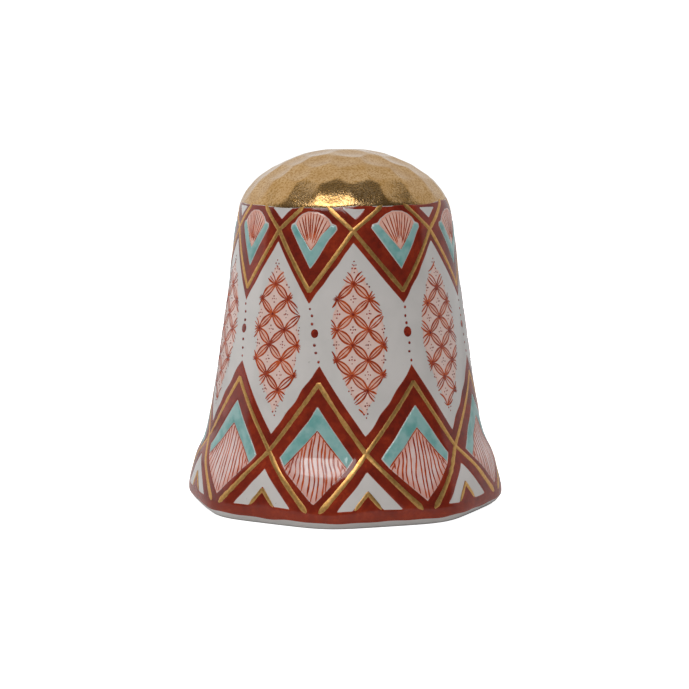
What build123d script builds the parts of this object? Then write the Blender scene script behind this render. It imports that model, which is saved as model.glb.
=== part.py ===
from build123d import *
from bisect import bisect_left
from math import atan2, cos, hypot, pi, radians, sin
import os

# A hand-painted porcelain thimble. Millimetres and degrees, +Z up, origin at the centre of the foot.
#
# The blank is one slip-cast porcelain shell: a cone for the fingertip, a dimpled dome that holds the
# needle, and a skirt that flares at the foot into a soft eight-cornered rim. Everything else is a thin
# material that the decorator lays on the glaze and the kiln fuses there: salmon grounds, iron-red
# bands, turquoise enamel, and gold over the red and over the dome. Each material is its own solid.
# Azimuth 0 faces -Y and grows towards +X.

# ---- the blank ----------------------------------------------------------------------------------
SIDES = 8                      # corners of the foot
CORNER_AZIMUTH = -6.0          # direction of one corner
CORNER_POWER = 18.0            # how square the foot is: 2 is round, infinity a sharp octagon
OUTLINE_POINTS = 4             # spline points along each side of the foot
ROUND_ABOVE = 9.0              # the wall is perfectly round from this height up
WALL = 1.65                    # wall thickness of the casting
MOUTH_RADIUS = 10.45           # of the finger's hollow at the foot
FLARE_POINTS = 3               # the lowest points of the skirt, where the flare is solid porcelain

# Outer surface, (radius across the flats, height), from the foot to the apex.
SKIRT = ((11.55, 0.0), (11.97, 0.3), (12.20, 0.9), (12.15, 2.0), (11.97, 3.2), (11.60, 4.4),
         (11.00, 5.8), (10.65, 7.5), (10.57, 8.0), (10.495, 8.5), (10.42, ROUND_ABOVE))
CROWN = ((10.42, ROUND_ABOVE), (9.98, 12.0), (9.25, 17.0), (8.80, 20.5), (8.56, 22.2), (8.26, 23.6),
         (7.70, 24.8), (6.76, 25.8), (5.60, 26.6), (4.40, 27.2), (2.60, 27.75), (0.0, 27.98))

# ---- the dimples of the dome --------------------------------------------------------------------
DIMPLE_SPHERE = 3.6            # radius of the tool that presses a dimple
DIMPLE_DEPTH = 0.12
DIMPLE_RINGS = ((27.98, 1, 0.0), (27.72, 6, 10.0), (27.15, 12, 2.0), (26.30, 17, 6.0), (25.05, 20, -4.6))

# ---- the painted and gilded layers --------------------------------------------------------------
PAINT = 0.05                   # salmon grounds and iron red
ENAMEL = 0.12                  # turquoise enamel, which stands proud of the red
GOLD = 0.05                    # gold, on top of the red or on the dome
GOLD_LINE = 0.24               # width of a gold line
SEAM = 0.3                     # neighbouring units overlap by this angle before they are fused

# The painter sets out eight units by eye, so their spacing is uneven. A crossing is where the zigzag's
# two bands cross, and its tips are half-way between the crossings.
UPPER_CROSSINGS = (-71.8, -34.9, 4.3, 49.1, 96.0, 143.0, 191.0, 240.0)
LOWER_CROSSINGS = (-74.1, -30.8, 8.3, 49.7, 97.0, 145.0, 192.0, 239.0)

GOLD_EDGE = 24.0               # lower edge of the gilded dome
UNIT = 45.0                    # a unit's nominal width; each one is stretched to its own crossings
UPPER_RED_TIP = 16.55          # lowest point of the upper zigzag
UPPER_RED_NOTCH = 21.15        # its white notch, under a crossing
UPPER_GOLD_TIP = 17.5
UPPER_GOLD_CROSSING = 22.0
UPPER_GOLD_SPREAD = 13.5       # where a gold line meets the dome, from its crossing
CHEVRON_TIP = 19.15            # outer tip of an upper turquoise chevron
CHEVRON_INNER_TIP = 20.55
LIMB_INNER_END = (8.4, 22.5)   # where a chevron's limb meets the top of the fan's side
FAN_SIDE = (12.6, 22.3)        # the window for chevron and fan: outer end of the limb,
FAN_SHOULDER = (5.5, 23.3)     # shoulder of the arch over the fan,
FAN_TOP = 23.4                 # and its top
SPANDREL = (5.2, 23.6, 22.85)  # white spandrel over a crossing: half width, top, lower tip

PANEL_TOP = 19.5               # pointed oval panel between the zigzags
PANEL_FOOT = 8.2
PANEL_HALF_WIDTH = 1.95
BEAD_HEIGHTS = (16.24, 15.65, 15.07, 14.38, 13.54, 12.93, 12.3)
BEAD_RADIUS = 0.13
MIDDLE_BEAD = 3                # this bead is larger
MIDDLE_BEAD_RADIUS = 0.34

LOWER_RED_TIP = 12.0           # highest point of the lower zigzag
LOWER_RED_NOTCH = 6.75
LOWER_GOLD_TIP = 10.65
LOWER_GOLD_CROSSING = 5.5
LOWER_GOLD_FOOT = (2.2, 1.2)   # lower end of a gold line: from the next unit's middle, and its height
LOWER_CHEVRON_TIP = 8.9
LOWER_CHEVRON_SIDE = (16.5, 5.1)
KITE_TOP = 7.2                 # the hatched kite under a lower chevron
KITE_SIDE = (13.5, 4.5)
KITE_FOOT = 1.95
TRIANGLE = (12.0, 1.45, 4.25)  # white triangle: half width, base, tip
PEAK = (5.5, 2.9)              # red peak inside it: half width, tip
PEAK_GOLD = (4.8, 1.5, 2.72)   # gold chevron on that peak: half width, feet, tip
FOOT_LINE = 0.55               # below this the rim is left white

REACH = 30.0                   # longer than anything in the model
TOOL_INSIDE = 4.0              # painting tools run from here outwards
CLEARANCE = 1.0                # cutters run this far past what they cut
FUSE_TOLERANCE = 1e-4


# ---- surfaces -----------------------------------------------------------------------------------
def stretch_at(height):
    """The stretch of the outer profile that holds a height, as its (radius, height) ends."""
    profile = SKIRT + CROWN[1:]
    i = min(max(bisect_left([z for _, z in profile], height), 1), len(profile) - 1)
    return profile[i - 1], profile[i]


def wall_radius(height):
    """Radius across the flats at a height, straight between the profile's points."""
    (r0, z0), (r1, z1) = stretch_at(height)
    return r0 + (r1 - r0) * (height - z0) / (z1 - z0)


def normal_at(profile, i):
    """Outward normal (radial, up) of a profile at its point i."""
    (r0, z0), (r1, z1) = profile[max(i - 1, 0)], profile[min(i + 1, len(profile) - 1)]
    length = hypot(r1 - r0, z1 - z0)
    return (z1 - z0) / length, (r0 - r1) / length


def moved_out(distance):
    """The whole outer profile, each point moved along its normal."""
    profile = SKIRT + CROWN[1:]
    moved = []
    for i, (r, z) in enumerate(profile):
        nr, nz = normal_at(profile, i) if r else (0.0, 1.0)
        moved.append((r + distance * nr, z + distance * nz))
    moved[len(SKIRT) - 1] = (moved[len(SKIRT) - 1][0], ROUND_ABOVE)
    return moved[:len(SKIRT)], moved[len(SKIRT) - 1:]


def foot_outline(radius, height):
    """A closed spline at this height, round at ROUND_ABOVE and eight-cornered at the foot."""
    squareness = max(1 - height / ROUND_ABOVE, 0) ** 2
    power = 2 + (CORNER_POWER - 2) * squareness
    step = 2 * pi / SIDES
    flats = [radians(CORNER_AZIMUTH) + step * (k + 0.5) for k in range(SIDES)]

    def spread(angle):
        return sum(max(cos(angle - flat), 0) ** power for flat in flats) ** (-1 / power)

    scale = radius / spread(flats[0])
    points = []
    for k in range(SIDES * OUTLINE_POINTS):
        angle = flats[0] + step * k / OUTLINE_POINTS
        r = scale * spread(angle)
        points.append((r * sin(angle), -r * cos(angle), height))
    return Wire([Edge.make_spline([Vector(*p) for p in points], periodic=True)])


def skin(distance=0.0):
    """The solid inside the outer surface, with the surface moved out by a distance."""
    skirt, crown = moved_out(distance)
    foot = Solid.make_loft([foot_outline(r, z) for r, z in skirt])
    with BuildPart() as dome:
        with BuildSketch(Plane.XZ):
            with BuildLine():
                Spline(*crown, tangents=((crown[1][0] - crown[0][0], crown[1][1] - crown[0][1]), (-1, 0)))
                Polyline(crown[-1], (0, ROUND_ABOVE), crown[0])
            make_face()
        revolve(axis=Axis.Z)
    return foot.fuse(dome.part, tol=FUSE_TOLERANCE)


def dimples(radius):
    """The balls that press the dome's dimples, with this radius."""
    lift = DIMPLE_SPHERE - DIMPLE_DEPTH
    balls = []
    for height, count, first in DIMPLE_RINGS:
        (r0, z0), (r1, z1) = stretch_at(height)
        r = wall_radius(height)
        tilt = atan2(z1 - z0, r0 - r1) if r else 0.0
        for k in range(count):
            azimuth = radians(first + 360 * k / count)
            out = r + lift * sin(tilt)
            place = (out * sin(azimuth), -out * cos(azimuth), height + lift * cos(tilt))
            balls.append(Pos(*place) * Sphere(radius))
    return balls


def cavity():
    """The finger's hollow: the outer profile moved in by the wall, round all the way down."""
    skirt, crown = moved_out(-WALL)
    inner = [(MOUTH_RADIUS, -CLEARANCE)] + skirt[FLARE_POINTS:] + crown[1:]
    with BuildPart() as hollow:
        with BuildSketch(Plane.XZ):
            with BuildLine():
                Spline(*inner, tangents=((0, 1), (-1, 0)))
                Polyline(inner[-1], (0, -CLEARANCE), inner[0])
            make_face()
        revolve(axis=Axis.Z)
    return hollow.part


# ---- drawing on the wall ------------------------------------------------------------------------
def facing(azimuth):
    """The upright plane through the axis that faces this azimuth, with its x to the viewer's right."""
    a = radians(azimuth)
    return Plane(origin=(0, 0, 0), x_dir=(cos(a), sin(a), 0), z_dir=(sin(a), -cos(a), 0))


def flat(points):
    """Points (angle from the middle, height) on the wall, as seen square on from outside."""
    return [(wall_radius(z) * sin(radians(a)), z) for a, z in points]


def prism(azimuth, sketch):
    """A flat sketch of the wall, seen square on from this azimuth, as a solid that runs through it."""
    start = facing(azimuth).offset(TOOL_INSIDE)
    return extrude(start * sketch, REACH, dir=start.z_dir)


def tool(azimuth, points):
    """A prism with this outline of (angle, height) points."""
    return prism(azimuth, make_face(Polyline(*flat(points), close=True)))


def outline_of_stroke(path, width):
    """A band of this width along a path of flat points, mitred at its corners."""
    headings = [atan2(y1 - y0, x1 - x0) for (x0, y0), (x1, y1) in zip(path, path[1:])]
    sides = ([], [])
    for (x, y), before, after in zip(path, headings[:1] + headings, headings + headings[-1:]):
        across = (before + after) / 2 + pi / 2
        reach = width / 2 / cos((after - before) / 2)
        sides[0].append((x + reach * cos(across), y + reach * sin(across)))
        sides[1].append((x - reach * cos(across), y - reach * sin(across)))
    return sides[0] + sides[1][::-1]


def stroke_tool(azimuth, points, width):
    """A prism with the outline of a band of this width along a path of (angle, height) points."""
    return prism(azimuth, make_face(Polyline(*outline_of_stroke(flat(points), width), close=True)))


def units(crossings):
    """The azimuth of each unit's middle, half-way between its crossings, and its stretch."""
    made = []
    for i, left in enumerate(crossings):
        right = crossings[(i + 1) % SIDES] + (360 if i + 1 == SIDES else 0)
        made.append(((left + right) / 2, (right - left) / UNIT))
    return made


def unit_tools(crossings, right_side):
    """One prism for each unit: an outline drawn up the right side and, mirrored, down the left."""
    mirrored = [(-a, z) for a, z in reversed(right_side)]
    outline = right_side + [p for p in mirrored if p[0]]
    return [tool(middle, [(a * stretch, z) for a, z in outline]) for middle, stretch in units(crossings)]


def patches(film, tools):
    """The separate patches of a film that these tools cut out, kept together as one compound."""
    solids = []
    for one in tools:
        solids += (film & one).solids()
    return Compound(children=solids)


def band(film, tools):
    """One continuous band round the wall, cut out by the overlapping tools of its units."""
    first, *others = tools
    return film & first.fuse(*others)


# ---- the layers ---------------------------------------------------------------------------------
def without(tools, *others):
    """Each tool less the tools in the same place of the other lists."""
    return [one.cut(*cutters) for one, *cutters in zip(tools, *others)]


def at_crossings(crossings, outline):
    """The same outline at the crossing left of every unit, and at the crossing right of it."""
    tools = [tool(azimuth, outline) for azimuth in crossings]
    return tools, tools[1:] + tools[:1]


def upper_red_tools():
    """The upper zigzag band: each unit up to the gold edge, less its chevron and fan and the spandrels."""
    edge = UNIT / 2
    half, top, tip = SPANDREL
    spandrel = [(-half, top), (0, tip), (half, top)]
    whole = unit_tools(UPPER_CROSSINGS, [(0, UPPER_RED_TIP), (edge, UPPER_RED_NOTCH),
                                         (edge + SEAM, UPPER_RED_NOTCH), (edge + SEAM, GOLD_EDGE)])
    window = unit_tools(UPPER_CROSSINGS, [(0, CHEVRON_TIP), FAN_SIDE, FAN_SHOULDER, (0, FAN_TOP)])
    return without(whole, window, *at_crossings(UPPER_CROSSINGS, spandrel))


def lower_red_tools():
    """The lower zigzag band and the foot band, less the chevrons, kites and white triangles."""
    edge = UNIT / 2
    half, base, tip = TRIANGLE
    peak_half, peak_tip = PEAK
    triangle = [(-half, base), (-peak_half, base), (0, peak_tip), (peak_half, base), (half, base), (0, tip)]
    whole = unit_tools(LOWER_CROSSINGS, [(edge + SEAM, FOOT_LINE), (edge + SEAM, LOWER_RED_NOTCH),
                                         (edge, LOWER_RED_NOTCH), (0, LOWER_RED_TIP)])
    window = unit_tools(LOWER_CROSSINGS, [(0, KITE_FOOT), KITE_SIDE, LOWER_CHEVRON_SIDE,
                                          (0, LOWER_CHEVRON_TIP)])
    return without(whole, window, *at_crossings(LOWER_CROSSINGS, triangle))


def upper_chevron_tools():
    return unit_tools(UPPER_CROSSINGS, [(0, CHEVRON_TIP), FAN_SIDE, LIMB_INNER_END, (0, CHEVRON_INNER_TIP)])


def fan_tools():
    return unit_tools(UPPER_CROSSINGS, [(0, CHEVRON_INNER_TIP), LIMB_INNER_END, FAN_SHOULDER, (0, FAN_TOP)])


def lower_chevron_tools():
    return unit_tools(LOWER_CROSSINGS, [(0, KITE_TOP), KITE_SIDE, LOWER_CHEVRON_SIDE, (0, LOWER_CHEVRON_TIP)])


def kite_tools():
    return unit_tools(LOWER_CROSSINGS, [(0, KITE_FOOT), KITE_SIDE, (0, KITE_TOP)])


def panel_tools():
    """Pointed ovals under the upper crossings, each side a smooth arc."""
    middle = (PANEL_TOP + PANEL_FOOT) / 2
    right = ThreePointArc((0, PANEL_FOOT), (PANEL_HALF_WIDTH, middle), (0, PANEL_TOP))
    left = ThreePointArc((0, PANEL_TOP), (-PANEL_HALF_WIDTH, middle), (0, PANEL_FOOT))
    oval = make_face([right, left])
    return [prism((upper + lower) / 2, oval) for upper, lower in zip(UPPER_CROSSINGS, LOWER_CROSSINGS)]


def bead_tools():
    """A string of round beads between each upper tip and the lower tip under it."""
    tools = []
    for upper, lower in zip(units(UPPER_CROSSINGS), units(LOWER_CROSSINGS)):
        for i, height in enumerate(BEAD_HEIGHTS):
            azimuth = upper[0] + (lower[0] - upper[0]) * (i + 1) / (len(BEAD_HEIGHTS) + 1)
            radius = MIDDLE_BEAD_RADIUS if i == MIDDLE_BEAD else BEAD_RADIUS
            tools.append(prism(azimuth, Pos(0, height) * Circle(radius)))
    return tools


def gold_tools(crossings, right_side):
    """One zigzag line through each unit: a path down its right side and, mirrored, up its left."""
    path = [(-a, z) for a, z in reversed(right_side)] + right_side[1:]
    return [stroke_tool(middle, [(a * stretch, z) for a, z in path], GOLD_LINE)
            for middle, stretch in units(crossings)]


def upper_gold_tools():
    edge = UNIT / 2
    return gold_tools(UPPER_CROSSINGS, [(0, UPPER_GOLD_TIP), (edge, UPPER_GOLD_CROSSING),
                                        (edge + UPPER_GOLD_SPREAD, GOLD_EDGE)])


def lower_gold_tools():
    edge = UNIT / 2
    out, foot = LOWER_GOLD_FOOT
    return gold_tools(LOWER_CROSSINGS, [(0, LOWER_GOLD_TIP), (edge, LOWER_GOLD_CROSSING),
                                        (2 * edge - out, foot)])


def peak_gold_tools():
    half, feet, tip = PEAK_GOLD
    return [stroke_tool(azimuth, [(-half, feet), (0, tip), (half, feet)], GOLD_LINE)
            for azimuth in LOWER_CROSSINGS]


# ---- the model ----------------------------------------------------------------------------------
def above(height):
    """A block that holds everything above a height."""
    return Pos(0, 0, height) * Cylinder(REACH, REACH, align=(Align.CENTER, Align.CENTER, Align.MIN))


def main():
    os.makedirs("parts", exist_ok=True)
    glaze = skin()
    paint = skin(PAINT) - glaze
    enamel = skin(ENAMEL) - glaze
    gold = skin(PAINT + GOLD) - skin(PAINT)
    dimpled = glaze.cut(*dimples(DIMPLE_SPHERE))
    cap = (skin(GOLD) & above(GOLD_EDGE)).cut(*dimples(DIMPLE_SPHERE - GOLD))

    parts = {
        "porcelain_body": dimpled - cavity(),
        "gilt_dome": cap - (dimpled & above(GOLD_EDGE - CLEARANCE)),
        "upper_red_band": band(paint, upper_red_tools()),
        "lower_red_band": band(paint, lower_red_tools()),
        "upper_turquoise_chevrons": patches(enamel, upper_chevron_tools()),
        "lower_turquoise_chevrons": patches(enamel, lower_chevron_tools()),
        "fan_grounds": patches(paint, fan_tools()),
        "kite_grounds": patches(paint, kite_tools()),
        "oval_panels": patches(paint, panel_tools()),
        "bead_strings": patches(paint, bead_tools()),
        "upper_gold_lines": band(gold, upper_gold_tools()),
        "lower_gold_lines": band(gold, lower_gold_tools()),
        "foot_gold_chevrons": patches(gold, peak_gold_tools()),
    }
    for name, shape in parts.items():
        export_step(shape, f"parts/{name}.step")


main()
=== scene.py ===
import math

import bpy
import numpy as np
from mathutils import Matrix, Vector
from mathutils.bvhtree import BVHTree


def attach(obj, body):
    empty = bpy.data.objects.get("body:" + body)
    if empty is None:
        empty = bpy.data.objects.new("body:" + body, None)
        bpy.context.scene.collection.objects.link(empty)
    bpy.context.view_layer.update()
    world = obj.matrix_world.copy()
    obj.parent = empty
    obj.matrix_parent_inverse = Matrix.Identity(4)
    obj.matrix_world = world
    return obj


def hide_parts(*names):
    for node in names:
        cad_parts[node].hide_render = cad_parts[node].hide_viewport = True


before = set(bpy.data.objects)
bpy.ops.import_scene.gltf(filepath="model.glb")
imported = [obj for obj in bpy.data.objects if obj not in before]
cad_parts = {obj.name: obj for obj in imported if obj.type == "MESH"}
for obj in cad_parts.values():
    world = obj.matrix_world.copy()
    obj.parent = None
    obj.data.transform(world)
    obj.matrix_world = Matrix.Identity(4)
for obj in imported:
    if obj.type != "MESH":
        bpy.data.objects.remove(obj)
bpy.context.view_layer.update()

# The looks of a hand-painted porcelain thimble, drawn on the surface that the CAD frame measures.
# Lengths are millimetres and angles degrees until a mesh is made, which is in metres. Azimuth 0
# faces -Y and grows towards +X. A place on the wall is (azimuth, height). Paint is meshed as closed
# films a few hundredths of a millimetre thick, in the order the decorator lays them down.

MM = 0.001
BODY = "root"
rng = np.random.default_rng(84)

# ---- the wall, measured from the frame ----
SIDES = 8
CORNER = -6.0                  # azimuth of one corner of the foot
PIVOT = 16.0                   # the dome is measured along rays from this height on the axis
FAR = 40.0                     # rays from outside start this far away
FOOT_EDGE = 0.05               # height of the lowest ring that is measured outside
STRAIGHT_TOP = 23.6            # up to here the wall is measured along level rays
WALL_ROW, DOME_ROWS = 0.575, 12
HOLLOW_ROW, HOLLOW_DOME_ROWS = 1.5, 14
OUTER_STEP, INNER_STEP = 0.03, 0.4      # spacing of points on the curves through the measured rows
RIPPLE = 0.007                 # unevenness of the glaze
STEP_AZ, STEP_Z = 0.3, 0.05    # steps over which the tilt of the wall is taken


def smooth(points, step):
    """A Catmull-Rom curve through the rows of points, with points about this far apart."""
    points = np.asarray(points, float)
    before = np.vstack([2 * points[0] - points[1], points[:-1]])
    after = np.vstack([points[1:], 2 * points[-1] - points[-2]])
    slopes = (after - before) / 2
    made = []
    for i in range(len(points) - 1):
        count = max(int(np.linalg.norm((points[i + 1] - points[i])[:2]) / step), 1)
        t = np.arange(count)[:, None] / count
        made.append((2 * t**3 - 3 * t**2 + 1) * points[i] + (t**3 - 2 * t**2 + t) * slopes[i]
                    + (3 * t**2 - 2 * t**3) * points[i + 1] + (t**3 - t**2) * slopes[i + 1])
    return np.vstack(made + [points[-1:]])


def measured():
    """The porcelain outside and inside: rows of (radius, height, first and second corner harmonic)."""
    graph = bpy.context.evaluated_depsgraph_get()
    tree = BVHTree.FromObject(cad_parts["porcelain_body"], graph)

    def reach(azimuth, height, elevation, outside):
        a, e = math.radians(azimuth), math.radians(elevation)
        out = Vector((math.sin(a) * math.cos(e), -math.cos(a) * math.cos(e), math.sin(e)))
        centre = Vector((0, 0, height * MM))
        if outside:
            return FAR - tree.ray_cast(centre + out * FAR * MM, -out)[3] / MM
        return tree.ray_cast(centre, out)[3] / MM

    def ring(height, elevation, outside, offset=0.0, count=SIDES):
        azimuths = [CORNER + offset + 360 * k / count for k in range(count)]
        return [reach(azimuth, height, elevation, outside) for azimuth in azimuths]

    outer, inner = [], []
    half_side = 180 / SIDES
    for height in np.append(FOOT_EDGE, np.arange(0.6, STRAIGHT_TOP + 0.1, WALL_ROW)):
        corner, between, flat = (np.mean(ring(height, 0, True, offset))
                                 for offset in (0, half_side / 2, half_side))
        second = (corner + flat - 2 * between) / 4
        outer.append((between + second, height, (corner - flat) / 2, second))
    for height in np.arange(0.3, PIVOT, HOLLOW_ROW):
        inner.append((np.mean(ring(height, 0, False)), height, 0, 0))
    start = math.degrees(math.atan2(STRAIGHT_TOP + 0.6 - PIVOT, outer[-1][0]))
    for elevation in np.linspace(start, 90, DOME_ROWS):
        distance = np.max(ring(PIVOT, elevation, True, 0, 90))
        e = math.radians(elevation)
        outer.append((distance * math.cos(e), PIVOT + distance * math.sin(e), 0, 0))
    for elevation in np.linspace(4, 90, HOLLOW_DOME_ROWS):
        distance = np.mean(ring(PIVOT, elevation, False))
        e = math.radians(elevation)
        inner.append((distance * math.cos(e), PIVOT + distance * math.sin(e), 0, 0))
    return smooth(outer, OUTER_STEP), smooth(inner, INNER_STEP)


OUTER, INNER = measured()
ALONG = np.append(0, np.cumsum(np.hypot(*np.diff(OUTER[:, :2], axis=0).T)))
# Slow waves in the glaze: turns round the wall, pace up the wall, and phase.
waves = [(rng.integers(1, 9), rng.uniform(0.3, 1.2), rng.uniform(0, 2 * math.pi)) for _ in range(9)]


def ripple(az, z):
    """The slow unevenness of the glaze."""
    return RIPPLE / 3 * sum(np.sin(m * np.radians(az) + k * z + phase) for m, k, phase in waves)


def cylindrical(az, r, z):
    """Points from azimuth, distance from the axis and height."""
    a = np.radians(az)
    return np.stack([r * np.sin(a), -r * np.cos(a), z + 0 * a], -1)


def radius(az, z):
    """Distance of the outside from the axis."""
    turn = np.radians((az - CORNER) * SIDES)
    mean, first, second = (np.interp(z, OUTER[:, 1], OUTER[:, k]) for k in (0, 2, 3))
    return mean + first * np.cos(turn) + second * np.cos(2 * turn) + ripple(az, z)


def on_wall(az, z, lift=0.0):
    """Points on the wall, moved out along its normal."""
    az, z = np.asarray(az, float), np.asarray(z, float)

    def point(a, h):
        return cylindrical(a, radius(a, h), h)

    around = point(az + STEP_AZ, z) - point(az - STEP_AZ, z)
    up = point(az, z + STEP_Z) - point(az, z - STEP_Z)
    normal = np.cross(around, up)
    normal /= np.linalg.norm(normal, axis=-1, keepdims=True)
    return point(az, z) + normal * np.asarray(lift)[..., None]


# ---- making pieces ----
SHARP = 50.0                   # edges that turn more than this are not shaded smooth


def piece(name, points, faces, material, slot, replaced=(), edge=None):
    """A closed mesh, from points in millimetres, that rides on the thimble.

    It replaces these CAD nodes. Edge is each point's distance from the rim of its paint.
    """
    mesh = bpy.data.meshes.new(name)
    mesh.from_pydata((np.asarray(points) * MM).tolist(), [], faces)
    mesh.validate()
    mesh.shade_smooth()
    mesh.set_sharp_from_angle(angle=math.radians(SHARP))
    if edge is not None:
        depths = mesh.attributes.new("edge", "FLOAT", "POINT").data
        depths.foreach_set("value", np.asarray(edge, np.float32))
    mesh.materials.append(material)
    made = bpy.data.objects.new(name, mesh)
    bpy.context.scene.collection.objects.link(made)
    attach(made, BODY)
    if replaced:
        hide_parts(*replaced)
    return made


def quads(rows, columns, first=0, flip=False):
    """Faces of a grid of points whose columns close round."""
    i, j = np.meshgrid(np.arange(rows - 1), np.arange(columns), indexing="ij")
    k = (j + 1) % columns
    made = np.stack([i * columns + j, i * columns + k, (i + 1) * columns + k, (i + 1) * columns + j], -1)
    made = made.reshape(-1, 4) + first
    return (made[:, ::-1] if flip else made).tolist()


def fan(row, columns, centre, flip=False):
    """Triangles from a row of points to one centre point."""
    made = [(row + j, row + (j + 1) % columns, centre) for j in range(columns)]
    return [t[::-1] for t in made] if flip else made


# ---- the blank ----
# Rings of dimples: height, how many, azimuth of the first.
DIMPLE_RINGS = ((27.98, 1, 0.0), (27.72, 6, 10.0), (27.15, 12, 2.0), (26.30, 17, 6.0), (25.05, 20, -4.6))
DIMPLE_RADIUS = 1.25
DIMPLE_JITTER = 1.5            # degrees
DIMPLED_FROM = 23.5            # height where the dimples begin
RIPPLED_TO = 24.5              # height where the ripple of the glaze ends
DIMPLE_DEPTH = 0.14
DIMPLE_SOFTNESS = 0.02         # how rounded the ridges between dimples are
ROUNDING = 0.22                # of the edges of the foot
SHELL_COLUMNS, SHELL_ROW = 352, 0.21
FACE_SHARES = (0.25, 0.5, 0.75)
EDGE_TURNS = (0, 30, 60)       # where rows of points lie on a rounded edge of the foot


def dimple_centres():
    centres = []
    for height, count, first in DIMPLE_RINGS:
        k = min(np.searchsorted(OUTER[:, 1], height), len(OUTER) - 1)
        r, z = (0.0, OUTER[-1, 1]) if count == 1 else OUTER[k, :2]
        azimuths = first + 360 * np.arange(count) / count
        if count > 1:
            azimuths = azimuths + rng.uniform(-DIMPLE_JITTER, DIMPLE_JITTER, count)
        centres.append(cylindrical(azimuths, np.full(count, r), z))
    return np.vstack(centres)


CENTRES = dimple_centres()
DEPTHS = DIMPLE_DEPTH * rng.uniform(0.75, 1.2, len(CENTRES))


def dimple(points):
    """How deep the dome is pressed at these points: soft hollows that meet in rounded ridges."""
    gap = np.linalg.norm(points[..., None, :] - CENTRES, axis=-1) / DIMPLE_RADIUS
    hollows = DEPTHS * (1 - gap**2)
    joined = np.log1p(np.exp(hollows / DIMPLE_SOFTNESS).sum(-1))
    return DIMPLE_SOFTNESS * (joined - math.log(2))


def on_profile(az, along, lift=0.0):
    """Points of the dimpled outside at this distance up the profile from the foot, moved out by lift."""
    r, z, first, second = (np.interp(along, ALONG, OUTER[:, k]) for k in range(4))
    turn = np.radians((az - CORNER) * SIDES)
    r = r + first * np.cos(turn) + second * np.cos(2 * turn)
    uneven = ripple(az, z) * np.clip(r / 2, 0, 1)
    step = 0.05
    rise = np.interp(along + step, ALONG, OUTER[:, 1]) - np.interp(along - step, ALONG, OUTER[:, 1])
    fall = np.interp(along - step, ALONG, OUTER[:, 0]) - np.interp(along + step, ALONG, OUTER[:, 0])
    size = np.hypot(rise, fall)
    plain = cylindrical(az, r, z)
    pressed = np.where(z > DIMPLED_FROM, dimple(plain), 0.0)
    move = uneven * (z <= RIPPLED_TO) + lift - pressed
    a = np.radians(az)
    outwards = np.stack([np.sin(a) * rise, -np.cos(a) * rise, fall + 0 * az], -1)
    return plain + outwards / size[..., None] * move[..., None]


def porcelain_body(materials):
    """The shell: outside from the foot to the apex, then the foot's underside and the hollow."""
    columns = SHELL_COLUMNS
    az = 360 * np.arange(columns) / columns
    rows = [on_profile(az, np.full(columns, s)) for s in np.arange(ROUNDING, ALONG[-1] - 0.2, SHELL_ROW)]
    mouth = INNER[0, 0]
    foot = radius(az, np.full(columns, FOOT_EDGE))
    turns = np.radians(EDGE_TURNS)
    heights = ROUNDING * (1 - np.cos(turns))
    insets = ROUNDING * (1 - np.sin(turns))
    below = [cylindrical(az, foot - inset, height) for inset, height in zip(insets[::-1], heights[::-1])]
    for share in FACE_SHARES:
        below.append(cylindrical(az, (foot - ROUNDING) * (1 - share) + (mouth + ROUNDING) * share, 0))
    below += [cylindrical(az, mouth + inset, height) for inset, height in zip(insets, heights)]
    foot_rows = len(below)
    below += [cylindrical(az, r, z) for r, z in INNER[:-1, :2] if r > 0.3 and z > ROUNDING]
    grid = np.array(below[::-1] + rows)
    count = len(grid)
    points = np.vstack([grid.reshape(-1, 3), [[0, 0, INNER[-1, 1]]],
                        on_profile(np.zeros(1), ALONG[-1:])])
    faces = quads(count, columns) + fan(0, columns, count * columns, flip=True)
    faces += fan((count - 1) * columns, columns, count * columns + 1)
    body = piece("porcelain_shell", points, faces, materials[0], "porcelain", ["porcelain_body"])
    body.data.materials.append(materials[1])
    foot_top = count - len(rows) - 1
    for k in range((foot_top - foot_rows) * columns, (foot_top - 1) * columns):
        body.data.polygons[k].material_index = 1


GOLD_EDGE = 24.0               # mean height of the gilding's edge
GOLD_TILT = (0.28, -30.0)      # the edge dips this much towards this azimuth
GILDING = 0.03                 # thickness of the gold
GILT_COLUMNS, GILT_ROWS = 420, 76


def gold_edge(az):
    """Height of the gilding's edge."""
    wander = 0.05 * np.sin(np.radians(5 * az + 40)) + 0.03 * np.sin(np.radians(13 * az))
    return GOLD_EDGE - GOLD_TILT[0] * np.cos(np.radians(az - GOLD_TILT[1])) + wander


def gilt_dome(material):
    """The gilding over the dome: a closed film whose edge lies on the glaze."""
    columns, count = GILT_COLUMNS, GILT_ROWS
    az = 360 * np.arange(columns) / columns
    start = np.interp(gold_edge(az), OUTER[:, 1], ALONG)
    shares = np.append(0, np.linspace(0.012, 0.99, count - 1))
    lifts = np.append(0, np.full(count - 1, GILDING))
    top = [on_profile(az, start + (ALONG[-1] - start) * s, lift) for s, lift in zip(shares, lifts)]
    under = [on_profile(az, start + (ALONG[-1] - start) * s, -GILDING / 2) for s in shares[1::3]]
    apex = [on_profile(np.zeros(1), ALONG[-1:], lift) for lift in (GILDING, -GILDING / 2)]
    points = np.vstack(top + under + apex)
    first_under = count * columns
    last_under = first_under + (len(under) - 1) * columns
    faces = quads(count, columns) + fan((count - 1) * columns, columns, len(points) - 2)
    faces += quads(len(under), columns, first_under, flip=True)
    faces += fan(last_under, columns, len(points) - 1, flip=True)
    for j in range(columns):
        k = (j + 1) % columns
        faces.append((j, first_under + j, first_under + k, k))
    piece("gilt_cap", points, faces, material, "sponged_gold", ["gilt_dome"])


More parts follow.
